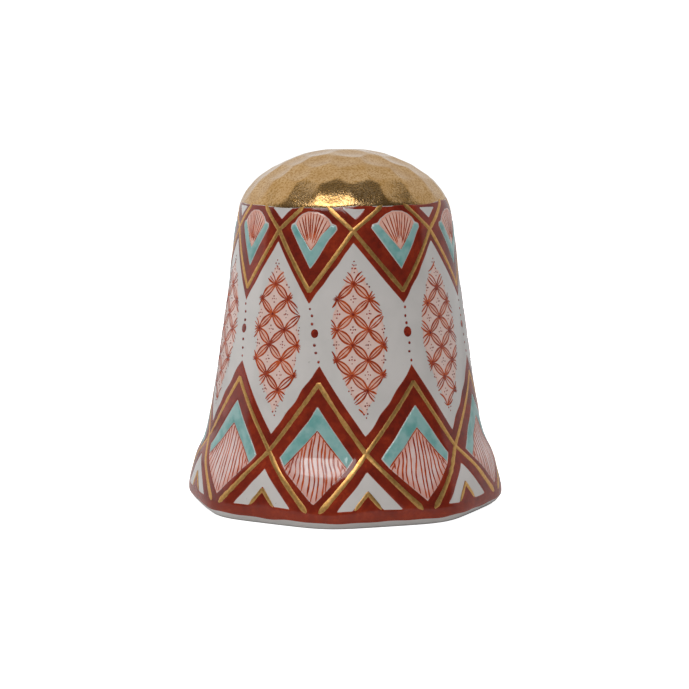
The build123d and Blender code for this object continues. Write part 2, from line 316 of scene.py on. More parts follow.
# ---- areas of paint ----
# Which corners and edge points make up the inside of a cell, for each combination of inside corners.
# Corners are 0 to 3 counter-clockwise from the lower left; 4 to 7 are the edges from there.
CELL_FACES = {1: [(0, 4, 7)], 2: [(1, 5, 4)], 3: [(0, 1, 5, 7)], 4: [(2, 6, 5)],
              5: [(0, 4, 7), (2, 6, 5)], 6: [(1, 2, 6, 4)], 7: [(0, 1, 2, 6, 7)], 8: [(3, 7, 6)],
              9: [(0, 4, 6, 3)], 10: [(1, 5, 4), (3, 7, 6)], 11: [(0, 1, 5, 6, 3)],
              12: [(2, 3, 7, 5)], 13: [(0, 4, 5, 2, 3)], 14: [(1, 2, 3, 7, 4)], 15: [(0, 1, 2, 3)]}
# Waves of the painter's hand: turns round the wall, pace up the wall, and phase.
hand = [(rng.integers(3, 30), rng.uniform(0.3, 2.6), rng.uniform(0, 2 * math.pi)) for _ in range(16)]
UNDER = 0.008                  # how far a film reaches into the glaze
ON_EDGE = 1e-6                 # depths nearer zero than this are moved off it


def wander(az, z, shift=0.0):
    """The unsteadiness of a brush, between about -1 and 1."""
    return sum(np.sin(m * np.radians(az) + k * z + p + shift) for m, k, p in hand) / 5


def inside(az, z, outline, rounding=0.0):
    """How far points are inside an outline of (azimuth, height) points, in mm; outside is negative."""
    outline = np.asarray(outline, float)
    r = radius(az, z)
    nearest = np.full(az.shape, np.inf)
    crossings = np.zeros(az.shape, bool)
    for (a0, z0), (a1, z1) in zip(outline, np.roll(outline, -1, axis=0)):
        x0, y0 = np.radians(a0 - az) * r, z0 - z
        dx, dy = np.radians(a1 - a0) * r, z1 - z0
        t = np.clip(-(x0 * dx + y0 * dy) / (dx * dx + dy * dy), 0, 1)
        nearest = np.minimum(nearest, np.hypot(x0 + t * dx, y0 + t * dy))
        if z0 != z1:
            beside = az < a0 + (z - z0) * (a1 - a0) / (z1 - z0)
            crossings ^= ((z0 <= z) != (z1 <= z)) & beside
    return np.where(crossings, nearest, -nearest) + rounding


def paint(name, depth, columns, low, high, cell, lift, material, slot, node):
    """A closed film of paint over the part of the wall where depth(azimuth, height) is positive.

    The wall is cut into this many columns, and from low to high into rows of cells this high. The
    film meets the edge of the paint exactly. Lift gives its thickness from the depth.
    """
    rows = int((high - low) / cell) + 1
    az_all = -180 + 360 * np.arange(columns) / columns
    az, z = np.meshgrid(az_all, low + cell * np.arange(rows), indexing="ij")
    value = depth(az, z)
    value = np.where(np.abs(value) < ON_EDGE, ON_EDGE, value)
    value[:, [0, -1]] = np.minimum(value[:, [0, -1]], -ON_EDGE)
    ids = np.arange(columns * rows).reshape(columns, rows)
    total = columns * rows

    def shifted(grid):
        return np.roll(grid, -1, axis=0)

    inner = value > 0
    t_east = value / (value - shifted(value) + 1e-12)
    t_up = np.zeros_like(value)
    t_up[:, :-1] = value[:, :-1] / (value[:, :-1] - value[:, 1:] + 1e-12)
    step = 360 / columns
    places = np.vstack([np.stack([az, z], -1).reshape(-1, 2),
                        np.stack([az + t_east * step, z], -1).reshape(-1, 2),
                        np.stack([az, z + t_up * cell], -1).reshape(-1, 2)])
    depths = np.concatenate([value.ravel(), np.zeros(2 * total)])
    a, b = ids[:, :-1], shifted(ids)[:, :-1]
    c, d = shifted(ids)[:, 1:], ids[:, 1:]
    slots = np.stack([a, b, c, d, total + a, 2 * total + b, total + d, 2 * total + a], -1)
    kind = (inner[:, :-1] + 2 * shifted(inner)[:, :-1] + 4 * shifted(inner)[:, 1:] + 8 * inner[:, 1:])
    top = []
    for case, shapes in CELL_FACES.items():
        cells = slots[kind == case]
        for shape in shapes:
            top += cells[:, shape].tolist()
    used = np.unique(np.concatenate([np.ravel(f) for f in top]))
    renumber = np.full(3 * total, -1)
    renumber[used] = np.arange(len(used))
    rim = used >= total
    under_number = np.where(rim, np.arange(len(used)), len(used) + np.cumsum(~rim) - 1)
    places, depths = places[used], depths[used]
    lifts = np.where(rim, 0.0, lift(np.maximum(depths, 0)))
    points = np.vstack([on_wall(places[:, 0], places[:, 1], lifts),
                        on_wall(places[~rim, 0], places[~rim, 1], np.full((~rim).sum(), -UNDER))])
    faces = [[int(renumber[v]) for v in f] for f in top]
    faces += [[int(under_number[v]) for v in reversed(f)] for f in faces]
    edge = np.concatenate([depths, depths[~rim]])
    piece(name, points, faces, material, slot, [node], edge)


def film(height, shoulder):
    """A lift that rises from the rim to its full height over this distance."""
    return lambda depth: height * (0.15 + 0.85 * np.clip(depth / shoulder, 0, 1) ** 0.5)


# ---- strokes and dots ----
# Sections of a stroke: place across it, from -1 to 1, and height, from 0 at its edge to 1.
THIN = ((-1, 0), (0, 1), (1, 0))
ROUND = ((-1, 0), (-0.6, 0.8), (0, 1), (0.6, 0.8), (1, 0))


def stroke(points, width, step=0.12, taper=0.3, unsteady=0.2, swell=0.0):
    """A brush stroke through (azimuth, height) points: rows of (azimuth, height, half width).

    Its ends are this share of its width, unsteady is how much the width varies, and swell is how much
    wider it is near its ends.
    """
    points = np.asarray(points, float)
    local = float(radius(points[:, 0], points[:, 1]).mean())
    scale = np.array([math.radians(local), 1.0])
    path = smooth(points * scale, step)
    if len(path) < 4:
        path = np.stack([np.interp(np.linspace(0, 1, 4), np.linspace(0, 1, len(path)), path[:, k])
                         for k in (0, 1)], -1)
    az, z = (path / scale).T
    t = np.linspace(0, 1, len(path))
    ends = np.minimum(1, taper + (1 - taper) * np.minimum(t, 1 - t) * len(path) / 2.5)
    swollen = 1 + swell * np.abs(2 * t - 1) ** 6
    half = width / 2 * ends * swollen * (1 + unsteady * wander(az * 3, z * 3))
    return np.stack([az, z, half], -1)


def straight(points, spread=1e-3):
    """Corners kept sharp: each inner point is doubled, so that a smooth curve turns there at once."""
    points = np.asarray(points, float)
    made = [points[0]]
    for before, here, after in zip(points, points[1:-1], points[2:]):
        made += [here + (before - here) * spread, here + (after - here) * spread]
    return np.array(made + [points[-1]])


def brushwork(name, strokes, floor, crest, section, material, slot, replaced=()):
    """Closed strokes of paint or gold: floor is the lift of their edges, crest that of their middle."""
    points, faces = [], []
    total = 0
    ring = len(section) + 1
    for line in strokes:
        az, z, half = line.T
        r = radius(az, z)
        run = np.gradient(np.radians(az)) * r
        rise = np.gradient(z)
        length = np.hypot(run, rise) + 1e-9
        aside_az, aside_z = np.degrees(rise / length / r), -run / length
        rings = [on_wall(az + aside_az * half * s, z + aside_z * half * s, floor + (crest - floor) * up)
                 for s, up in section]
        rings.append(on_wall(az, z, np.full(len(az), floor - UNDER)))
        points.append(np.stack(rings, 1).reshape(-1, 3))
        count = len(az)
        faces += quads(count, ring, total)
        faces.append([total + j for j in range(ring)][::-1])
        faces.append([total + (count - 1) * ring + j for j in range(ring)])
        total += count * ring
    piece(name, np.vstack(points), faces, material, slot, replaced)


def dots(name, centres, floor, crest, material, slot, replaced=(), corners=10):
    """Closed domed dots at rows of (azimuth, height, radius)."""
    az, z, size = np.asarray(centres, float).T
    turn = np.radians(360 * np.arange(corners) / corners)
    squash = 1 + 0.12 * rng.uniform(-1, 1, (len(az), 1))
    r = radius(az, z)[:, None]
    around_az = az[:, None] + np.degrees(size[:, None] * np.cos(turn) * squash / r)
    around_z = z[:, None] + size[:, None] * np.sin(turn) / squash
    middle_az = (az[:, None] + around_az) / 2
    middle_z = (z[:, None] + around_z) / 2
    rim = on_wall(around_az, around_z, np.full(around_az.shape, floor))
    bulge = on_wall(middle_az, middle_z, np.full(around_az.shape, floor + 0.8 * (crest - floor)))
    tops = on_wall(az, z, np.full(len(az), crest))[:, None]
    unders = on_wall(az, z, np.full(len(az), floor - UNDER))[:, None]
    points = np.concatenate([rim, bulge, tops, unders], 1).reshape(-1, 3)
    size_each = 2 * corners + 2
    faces = []
    for k in range(len(az)):
        first = k * size_each
        faces += quads(2, corners, first)
        faces += fan(first + corners, corners, first + 2 * corners)
        faces += fan(first, corners, first + 2 * corners + 1, flip=True)
    piece(name, points, faces, material, slot, replaced)


# ---- materials ----
ROUGHER = (26.4, 24.6)         # heights between which the gold on the dome grows rougher
THINNER = (1.5, 0.5)           # heights between which the red at the foot grows thinner


class Material:
    """A material whose nodes are added and wired in one call each. Its space is in millimetres."""

    def __init__(self, name, **finish):
        self.material = bpy.data.materials.new(name)
        self.material.use_nodes = True
        self.tree = self.material.node_tree
        self.surface = self.tree.nodes["Principled BSDF"]
        self.wire(self.surface, finish)
        place = self.add("TexCoord").outputs["Object"]
        self.space = self.add("VectorMath", {"operation": "SCALE"}, Vector=place, Scale=1 / MM).outputs[0]

    def wire(self, node, inputs):
        """Set a node's inputs, by name or number, to values or to other nodes' outputs."""
        for name, value in inputs.items():
            socket = node.inputs[name if isinstance(name, int) else name.replace("_", " ")]
            if isinstance(value, bpy.types.NodeSocket):
                self.tree.links.new(value, socket)
            else:
                socket.default_value = value

    def add(self, kind, settings=(), /, **inputs):
        """A new node with these settings and inputs."""
        node = self.tree.nodes.new("ShaderNode" + kind)
        for key, value in dict(settings).items():
            setattr(node, key, value)
        self.wire(node, inputs)
        return node

    def noise(self, scale, detail=3.0, roughness=0.55):
        """Noise with this many features per millimetre."""
        made = self.add("TexNoise", Vector=self.space, Scale=scale, Detail=detail, Roughness=roughness)
        return made.outputs[0]

    def between(self, value, low, high, to_low=0.0, to_high=1.0):
        """The value eased from one range to another."""
        made = self.add("MapRange", {"interpolation_type": "SMOOTHSTEP"}, Value=value, From_Min=low,
                        From_Max=high, To_Min=to_low, To_Max=to_high)
        return made.outputs[0]

    def mix(self, share, first, second):
        """The first colour, with this share of the second."""
        node = self.add("Mix", {"data_type": "RGBA"})
        self.wire(node, {0: share, 6: first, 7: second})
        return node.outputs[2]

    def height(self, low, high, to_low=0.0, to_high=1.0):
        """A value that is to_low at the height low and to_high at the height high."""
        z = self.add("SeparateXYZ", Vector=self.space).outputs[2]
        made = self.add("MapRange", Value=z, From_Min=low, From_Max=high, To_Min=to_low, To_Max=to_high)
        return made.outputs[0]

    def edge(self):
        """Distance from the rim of the paint, in mm."""
        return self.add("Attribute", {"attribute_name": "edge"}).outputs["Fac"]

    def bump(self, height, depth):
        """Bumps of this depth in mm."""
        made = self.add("Bump", Height=height, Distance=depth * MM)
        self.wire(self.surface, {"Normal": made.outputs[0]})


def rgb(red, green, blue):
    """A colour given as it looks on a screen, from 0 to 255."""
    return (*(((c / 255 + 0.055) / 1.055) ** 2.4 for c in (red, green, blue)), 1.0)


def glazed(name, colour, roughness, gloss=1.0):
    """A matt colour under a clear coat."""
    m = Material(name, Roughness=0.6, Specular_IOR_Level=0.0, Coat_Weight=gloss, Coat_Roughness=roughness,
                 Coat_IOR=1.5)
    m.wire(m.surface, {"Base Color": colour(m)})
    return m


def porcelain():
    m = Material("glazed_porcelain", IOR=1.52)
    cloud = m.between(m.noise(0.35, 4), 0.35, 0.7)
    colour = m.mix(cloud, rgb(214, 209, 205), rgb(206, 202, 198))
    speck = m.between(m.noise(3.2, 2), 0.72, 0.78)
    m.wire(m.surface, {"Base Color": m.mix(speck, colour, rgb(190, 186, 180)),
                       "Roughness": m.between(m.noise(1.4), 0.3, 0.7, 0.05, 0.1)})
    m.bump(m.noise(1.6, 2), 0.004)
    return m.material


def biscuit():
    """The unglazed ring that the piece stood on in the kiln."""
    m = Material("bare_foot_ring", Roughness=0.75)
    grain = m.between(m.noise(9.0, 5), 0.35, 0.65)
    m.wire(m.surface, {"Base Color": m.mix(grain, rgb(228, 222, 208), rgb(206, 197, 180))})
    m.bump(m.noise(12.0, 4), 0.02)
    return m.material


def iron_red():
    def colour(m):
        cloud = m.between(m.noise(0.55, 4, 0.6), 0.36, 0.66)
        brush = m.between(m.noise(3.0, 4, 0.7), 0.35, 0.7)
        body = m.mix(cloud, rgb(106, 30, 18), rgb(156, 54, 27))
        body = m.mix(brush, body, rgb(128, 37, 20))
        body = m.mix(m.height(*THINNER, 0.0, 0.45), body, rgb(168, 64, 28))
        return m.mix(m.between(m.edge(), 0.0, 0.07, 0.6, 0.0), body, rgb(190, 104, 86))

    m = glazed("iron_red_enamel", colour, 0.1, 0.75)
    m.bump(m.noise(4.0, 4), 0.006)
    return m.material


def brushed_red(name, load, high, thick, thin, roughness):
    """Red that is darker where the brush left more of it. Load is the noise's scale, detail and roughness."""
    m = glazed(name, lambda m: m.mix(m.between(m.noise(*load), 0.35, high), thick, thin), roughness)
    m.bump(m.noise(7.0, 3), 0.004)
    return m.material


def turquoise():
    def colour(m):
        pool = m.between(m.noise(0.8, 3), 0.4, 0.68)
        body = m.mix(pool, rgb(146, 186, 182), rgb(106, 164, 159))
        return m.mix(m.between(m.edge(), 0.0, 0.1, 0.6, 0.0), body, rgb(196, 206, 202))

    m = glazed("turquoise_enamel", colour, 0.04)
    m.bump(m.noise(2.5, 3), 0.008)
    return m.material


def salmon(name, middle, rim, reach):
    """A thin wash that is stronger towards its rim."""
    def colour(m):
        wash = m.between(m.noise(1.3, 4, 0.65), 0.3, 0.7, 0.0, 0.35)
        body = m.mix(wash, middle, rim)
        return m.mix(m.between(m.edge(), 0.0, reach, 0.8, 0.0), body, rim)

    m = glazed(name, colour, 0.08)
    m.bump(m.noise(3.0, 3), 0.003)
    return m.material


def gold_line():
    m = Material("gold_line", Metallic=1.0)
    wear = m.between(m.noise(5.0, 4, 0.6), 0.38, 0.62)
    m.wire(m.surface, {"Base Color": m.mix(wear, rgb(218, 172, 106), rgb(201, 151, 87)),
                       "Roughness": m.between(m.noise(4.0, 3), 0.3, 0.7, 0.36, 0.46)})
    m.bump(m.noise(4.0, 3, 0.5), 0.002)
    return m.material


def sponged_gold():
    """Gold that was dabbed on with a sponge, and is rougher near its lower edge."""
    m = Material("sponged_gold", Metallic=1.0)
    wash = m.between(m.noise(0.7, 4, 0.6), 0.35, 0.68)
    sponge = m.noise(6.5, 3, 0.6)
    grain = m.between(sponge, 0.45, 0.62)
    colour = m.mix(wash, rgb(206, 170, 122), rgb(194, 154, 100))
    low = m.height(*ROUGHER, 0.25, 1.0)
    m.wire(m.surface, {"Base Color": m.mix(grain, colour, rgb(174, 132, 72)),
                       "Roughness": m.height(*ROUGHER, 0.15, 0.24)})
    dabs = m.add("Math", {"operation": "MULTIPLY"})
    m.wire(dabs, {0: sponge, 1: low})
    m.bump(dabs.outputs[0], 0.026)
    return m.material


def floor_white():
    """White paper that is clear when it is seen from below."""
    m = Material("studio_paper", Roughness=0.9)
    seen = m.add("LightPath").outputs["Is Camera Ray"]
    m.wire(m.surface, {"Emission Strength": m.between(seen, 0.0, 1.0, 0.0, FLOOR_GLOW)})
    fibre = m.between(m.noise(0.6, 4), 0.3, 0.7)
    m.wire(m.surface, {"Base Color": m.mix(fibre, rgb(236, 236, 236), rgb(232, 232, 232)),
                       "Emission Color": rgb(255, 255, 255)})
    clear = m.add("BsdfTransparent").outputs[0]
    below = m.add("NewGeometry").outputs["Backfacing"]
    shown = m.add("MixShader")
    m.wire(shown, {0: below, 1: m.surface.outputs[0], 2: clear})
    m.tree.links.new(shown.outputs[0], m.tree.nodes["Material Output"].inputs[0])
    return m.material


PORCELAIN, BISCUIT, RED = porcelain(), biscuit(), iron_red()
TURQUOISE, GOLD, SPONGED = turquoise(), gold_line(), sponged_gold()
FINE = brushed_red("fine_red_line", (1.1, 4, 0.7), 0.7, rgb(148, 46, 18), rgb(200, 88, 40), 0.12)
POOLED = brushed_red("pooled_red_enamel", (2.0, 3, 0.55), 0.65, rgb(112, 28, 18), rgb(160, 52, 26), 0.1)
FAN_WASH = salmon("salmon_fan_wash", rgb(238, 196, 180), rgb(226, 160, 140), 0.35)
KITE_WASH = salmon("salmon_kite_wash", rgb(230, 207, 202), rgb(218, 154, 138), 0.75)
OVAL_WASH = salmon("salmon_oval_wash", rgb(231, 203, 193), rgb(224, 184, 170), 0.25)
PETAL_WASH = salmon("salmon_petal_wash", rgb(231, 185, 167), rgb(224, 174, 155), 0.1)

# ---- the painted pattern ----
# Eight units, spaced by eye: azimuths of the crossing at a unit's left and of the zigzag's tip in it.
UPPER = ((-71.8, -54.2), (-34.9, -16.8), (4.3, 28.7), (49.1, 72.4), (96.0, 119.5), (143.0, 167.0),
         (191.0, 215.5), (240.0, 264.3))
LOWER = ((-74.1, -51.9), (-30.8, -10.9), (8.3, 30.6), (49.7, 74.0), (97.0, 121.0), (145.0, 168.5),
         (192.0, 215.5), (239.0, 262.5))
BEYOND = 3.0                   # a unit's paint runs this far into its neighbours, to join them
NEAR = 40.0                    # an outline is looked for this far round from its middle
SHAKE = 0.035                  # how unsteadily the areas are outlined
UPPER_HAND, LOWER_HAND, PANEL_HAND = 0.3, 1.1, 2.2      # where each lies in the waves of the hand
# Heights of a zigzag's tips, of its crossings' edge, and of its far edge.
UPPER_BAND = (16.55, 21.15, 25.5)
LOWER_BAND = (12.0, 6.75, 0.55)
UNDER_GILDING = 0.02           # how far the red runs under the gold's edge
# The white triangles under the crossings, and the red peak in each.
TRIANGLE_FOOT, TRIANGLE_TOP, TRIANGLE_SHARE = 1.45, 4.25, 0.56
PEAK_TOP, PEAK_HALF = 2.95, 5.5
ENAMEL_ROUNDING = 0.02


def spaced(units):
    """[(left crossing, tip, right crossing)] round the thimble."""
    crossings = [left for left, _ in units] + [units[0][0] + 360]
    return [(left, tip, right) for (left, tip), right in zip(units, crossings[1:])]


def fitted(unit, outline):
    """(share of the way from the tip to a crossing, height) points as (azimuth, height) ones."""
    left, tip, right = unit
    return [(tip + u * (right - tip if u > 0 else tip - left), z) for u, z in outline]


def mirrored(half):
    """An outline or path that starts on the tip's line, with its mirror image on the other side."""
    return [(-u, z) for u, z in reversed(half) if u] + list(half)


def any_of(az, z, outlines, rounding=0.0):
    """How far points are inside the nearest of some outlines."""
    depth = np.full(az.shape, -9.0)
    for outline in outlines:
        middle = np.mean([a for a, _ in outline])
        near = (az - middle + 180) % 360 - 180 + middle
        close = np.abs(near - middle) < NEAR
        depth[close] = np.maximum(depth[close], inside(near[close], z[close], outline, rounding))
    return depth


UPPER_UNITS, LOWER_UNITS = spaced(UPPER), spaced(LOWER)
UPPER_WINDOW = mirrored([(0, 19.14), (0.62, 22.2), (0.6, 22.48), (0.49, 22.6), (0.42, 22.93),
                         (0.28, 23.25), (0.13, 23.42)])
FAN = mirrored([(0, 20.5), (0.46, 22.42), (0.41, 22.9), (0.27, 23.22), (0.12, 23.4)])
UPPER_CHEVRON = mirrored([(0, 19.19), (0.6, 22.19), (0.575, 22.45), (0.46, 22.47), (0, 20.55)])
LOWER_WINDOW = mirrored([(0, 8.94), (0.74, 5.12), (0.615, 4.46), (0, 1.9)])
LOWER_CHEVRON = mirrored([(0, 8.89), (0.725, 5.15), (0.61, 4.55), (0, 7.22)])
KITE = mirrored([(0, 7.25), (0.61, 4.48), (0, 1.93)])


def spandrel(unit):
    """The small white triangle over a crossing."""
    left = unit[0]
    return [(left - 5.0, 23.6), (left + 0.8, 22.85), (left + 6.0, 23.6)]


def triangles(units):
    """White triangles under the crossings, each with a red peak standing in it."""
    made = []
    for before, unit in zip(units[-1:] + units[:-1], units):
        crossing = unit[0]
        tip_before = before[1] - (360 if before[1] > crossing else 0)
        left = crossing - TRIANGLE_SHARE * (crossing - tip_before)
        right = crossing + TRIANGLE_SHARE * (unit[1] - crossing)
        made.append([(left, TRIANGLE_FOOT), (crossing - PEAK_HALF, TRIANGLE_FOOT), (crossing, PEAK_TOP),
                     (crossing + PEAK_HALF, TRIANGLE_FOOT), (right, TRIANGLE_FOOT),
                     (crossing, TRIANGLE_TOP)])
    return made


def shaken(az, z, amount, shift):
    """The same places, moved a little as a hand would have put them."""
    return az + np.degrees(amount / 10) * wander(az, z, shift), z + amount * wander(az, z, shift + 2.0)


def bands(units, heights):
    """Outlines of a zigzag, unit by unit."""
    tip, side, far = heights
    return [[(middle, tip), (right, side), (right + BEYOND, side), (right + BEYOND, far),
             (left - BEYOND, far), (left - BEYOND, side), (left, side)] for left, middle, right in units]


def upper_red(az, z):
    edge = gold_edge(az) + UNDER_GILDING - z
    az, z = shaken(az, z, SHAKE, UPPER_HAND)
    windows = [fitted(unit, UPPER_WINDOW) for unit in UPPER_UNITS]
    windows += [spandrel(unit) for unit in UPPER_UNITS]
    zigzag = any_of(az, z, bands(UPPER_UNITS, UPPER_BAND))
    return np.minimum(edge, np.minimum(zigzag, -any_of(az, z, windows)))


def lower_red(az, z):
    az, z = shaken(az, z, SHAKE, LOWER_HAND)
    windows = [fitted(unit, LOWER_WINDOW) for unit in LOWER_UNITS] + triangles(LOWER_UNITS)
    return np.minimum(any_of(az, z, bands(LOWER_UNITS, LOWER_BAND)), -any_of(az, z, windows))


def fields(units, outline, shift, rounding=0.0):
    """The area with this outline in every unit."""
    def depth(az, z):
        az, z = shaken(az, z, SHAKE, shift)
        return any_of(az, z, [fitted(unit, outline) for unit in units], rounding)
    return depth


PANEL_MIDDLE = 13.95           # the pointed ovals: height of the middle, half the height and width
PANEL_REACH = 5.75
PANEL_HALF_WIDTH = 2.08
PANEL_ENDS = (8.2, 19.7)       # heights between which an oval leans from one crossing to the other
PANEL_SHAKE = 0.05


def panel_axis(i, z):
    """Azimuth of the middle of a pointed oval at a height."""
    upper, lower = UPPER[i][0], LOWER[i][0]
    return np.interp(z, PANEL_ENDS, (lower + 0.4, upper + 0.3))


def panel_half(z):
    """Half the width of a pointed oval at a height, in mm."""
    return PANEL_HALF_WIDTH * np.clip(1 - ((z - PANEL_MIDDLE) / PANEL_REACH) ** 2, 0, 1)


def panel_outline(i):
    heights = np.linspace(PANEL_MIDDLE - PANEL_REACH, PANEL_MIDDLE + PANEL_REACH, 25)
    middle = panel_axis(i, heights)
    half = np.degrees(panel_half(heights) / radius(0.0, heights))
    right = list(zip(middle + half, heights))
    left = list(zip(middle - half, heights))
    return right + left[-2:0:-1]


def panels(az, z):
    """The grounds of the ovals, whose edges are ragged between the ends of petals."""
    ragged = 0.1 * np.sin(np.radians(90 * az)) * np.sin(3.1 * z) - 0.14
    az, z = shaken(az, z, PANEL_SHAKE, PANEL_HAND)
    return any_of(az, z, [panel_outline(i) for i in range(SIDES)]) + ragged


def gold_paths(units, tip, crossing, arm):
    """One path through each unit, with an arm beyond each crossing."""
    made = []
    for i, (left, middle, right) in enumerate(units):
        before, after = units[i - 1], units[(i + 1) % SIDES]
        made.append([arm(before, left, -1), (left, crossing), (middle, tip), (right, crossing),
                     arm(after, right, 1)])
    return made


UPPER_ARM, LOWER_ARM = 6.3, 2.2         # how far from a unit's middle the gold lines end, in degrees
LOWER_ARM_END = 1.3
UPPER_GOLD, LOWER_GOLD = (17.5, 22.0), (10.65, 5.5)     # heights of the tips and crossings
GOLD_PEAK = ((-4.8, 1.5), (0.0, 2.72), (4.8, 1.5))      # from a crossing: azimuth, and height


def upper_arm(neighbour, crossing, way):
    """Where a gold line meets the dome, beyond a crossing."""
    centre = (neighbour[0] + neighbour[2]) / 2
    centre += 360 * round((crossing - centre) / 360)
    azimuth = centre - UPPER_ARM * way
    return azimuth, float(gold_edge(azimuth)) + 0.1


def lower_arm(neighbour, crossing, way):
    """Where a gold line ends above the foot, beyond a crossing."""
    centre = neighbour[1] + 360 * round((crossing - neighbour[1]) / 360)
    return centre - LOWER_ARM * way, LOWER_ARM_END


GOLD_LIFT = (0.018, 0.04)      # of a gold line's edges and crest


def draw_pattern():
    """The areas of paint in the order they are laid, then the gold lines over them."""
    wash, red = film(0.008, 0.1), film(0.02, 0.1)
    fans = fields(UPPER_UNITS, FAN, UPPER_HAND)
    kites = fields(LOWER_UNITS, KITE, LOWER_HAND)
    upper = fields(UPPER_UNITS, UPPER_CHEVRON, UPPER_HAND, ENAMEL_ROUNDING)
    lower = fields(LOWER_UNITS, LOWER_CHEVRON, LOWER_HAND, ENAMEL_ROUNDING)
    # Piece, area, columns, lowest and highest height, cell's height, film, material, slot, node.
    for row in (
            ("oval_grounds", panels, 480, 8.0, 19.9, 0.12, wash, OVAL_WASH, "salmon_wash", "oval_panels"),
            ("fan_washes", fans, 480, 20.3, 23.6, 0.1, wash, FAN_WASH, "salmon_wash", "fan_grounds"),
            ("kite_washes", kites, 600, 1.7, 7.4, 0.1, wash, KITE_WASH, "salmon_wash", "kite_grounds"),
            ("upper_red_zigzag", upper_red, 640, 16.3, 24.6, 0.09, red, RED, "iron_red", "upper_red_band"),
            ("lower_red_zigzag", lower_red, 640, 0.3, 12.3, 0.105, red, RED, "iron_red", "lower_red_band"),
            ("upper_turquoise", upper, 720, 19.0, 22.7, 0.075, film(0.06, 0.22), TURQUOISE,
             "turquoise_enamel", "upper_turquoise_chevrons"),
            ("lower_turquoise", lower, 720, 4.4, 9.1, 0.08, film(0.065, 0.25), TURQUOISE,
             "turquoise_enamel", "lower_turquoise_chevrons")):
        paint(*row)
    peaks = [[(left + turn, height) for turn, height in GOLD_PEAK] for left, _, _ in LOWER_UNITS]
    # Piece, paths, width, unsteadiness, swelling of the ends, node.
    for name, paths, width, unsteady, swell, node in (
            ("upper_gold_zigzag", gold_paths(UPPER_UNITS, *UPPER_GOLD, upper_arm), 0.34, 0.1, 0.0,
             "upper_gold_lines"),
            ("lower_gold_zigzag", gold_paths(LOWER_UNITS, *LOWER_GOLD, lower_arm), 0.34, 0.1, 0.4,
             "lower_gold_lines"),
            ("foot_gold_peaks", peaks, 0.29, 0.12, 0.0, "foot_gold_chevrons")):
        strokes = [stroke(straight(path), width, unsteady=unsteady, swell=swell) for path in paths]
        brushwork(name, strokes, *GOLD_LIFT, ROUND, GOLD, "gold_line", [node])


RIB_FOOT, RIB_TOP, RIB_DROOP = 20.4, 23.36, 4.2
RIB_SPREAD, RIBS = 0.38, 10


def fan_lines():
    """Ribs that spread from above the fan's tip, and the fan's outline."""
    made = []
    for unit in UPPER_UNITS:
        for u in np.linspace(-RIB_SPREAD, RIB_SPREAD, RIBS):
            top = RIB_TOP - RIB_DROOP * u * u
            shares = np.array([rng.uniform(0.22, 0.4), 0.65, 1.0])
            bend = np.array([0, rng.uniform(-0.012, 0.012), 0])
            path = fitted(unit, zip(u * shares + bend, RIB_FOOT + (top - RIB_FOOT) * shares))
            made.append(stroke(path, rng.uniform(0.075, 0.11), taper=0.5))
        sides = mirrored([(0, 20.52), (0.45, 22.42)])
        made.append(stroke(straight(fitted(unit, sides)), 0.09))
    return made


HATCH_TOP, HATCH_FOOT, HATCH_SIDE = 7.15, 1.95, 4.5      # heights of the kite's corners
HATCH_REACH, HATCH_SPREAD, HATCHES = 0.61, 0.54, 14


def kite_lines():
    """The hatching of the kites: wavy upright lines from the upper edges to the lower ones."""
    made = []
    for unit in LOWER_UNITS:
        lean = rng.uniform(-0.045, 0.045)
        for u in np.linspace(-HATCH_SPREAD, HATCH_SPREAD, HATCHES):
            u += rng.uniform(-0.008, 0.008)
            out = abs(u) / HATCH_REACH
            top = HATCH_TOP + (HATCH_SIDE - HATCH_TOP) * out
            low = HATCH_FOOT + (HATCH_SIDE - HATCH_FOOT) * out
            sway = (rng.uniform(-0.02, 0.02, 4) + lean * np.array([0, 1, -1, 0])) * (top - low) / 5
            path = [(u * (0.94 + 0.05 * k) + sway[k], low + (top - low) * (1 - k / 3)) for k in range(4)]
            made.append(stroke(fitted(unit, path), rng.uniform(0.105, 0.145), taper=0.5))
            flare = path[0][0] + (path[1][0] - path[0][0]) * 0.25
            head = [path[0], (flare, top - 0.22), (flare, top - 0.4)]
            made.append(stroke(fitted(unit, head), 0.15, taper=0.4))
        outline = mirrored([(0, 7.22), (HATCH_REACH, HATCH_SIDE)])
        made.append(stroke(straight(fitted(unit, outline)), 0.13))
    return made


LATTICE_ACROSS, LATTICE_UP = 1.2, 1.13   # half a diamond's width and height
LATTICE_TOP = 18.07
LATTICE_DRIFT = 0.03           # how far each row stands to the left of the one above
LATTICE_ROWS, LATTICE_COLUMNS = range(-2, 11), range(-3, 4)
FACING = 2                     # this oval faces the viewer, and its lattice is not shifted
PETAL = 0.15                   # bulge of a petal's edges, as a share of its length
PETAL_SHARES, LINE_SHARES = np.linspace(0.05, 0.95, 9), np.linspace(0.02, 0.98, 13)
TIP_HALF, NODE_HALF = 0.12, 0.3         # lines and nodes stop where the oval is narrower than this
BURST = 16                     # strokes round a node
QUINCUNX = ((0, 0.24), (0, -0.24), (0.17, 0.0), (-0.17, 0.0), (0.02, 0.02))
# Dots beyond the ends of an oval: height, and distance from its middle line.
END_DOTS = ((19.75, 0.0), (19.5, -0.14), (19.48, 0.13), (19.22, 0.02), (8.15, 0.05), (8.4, -0.12),
            (8.45, 0.16))


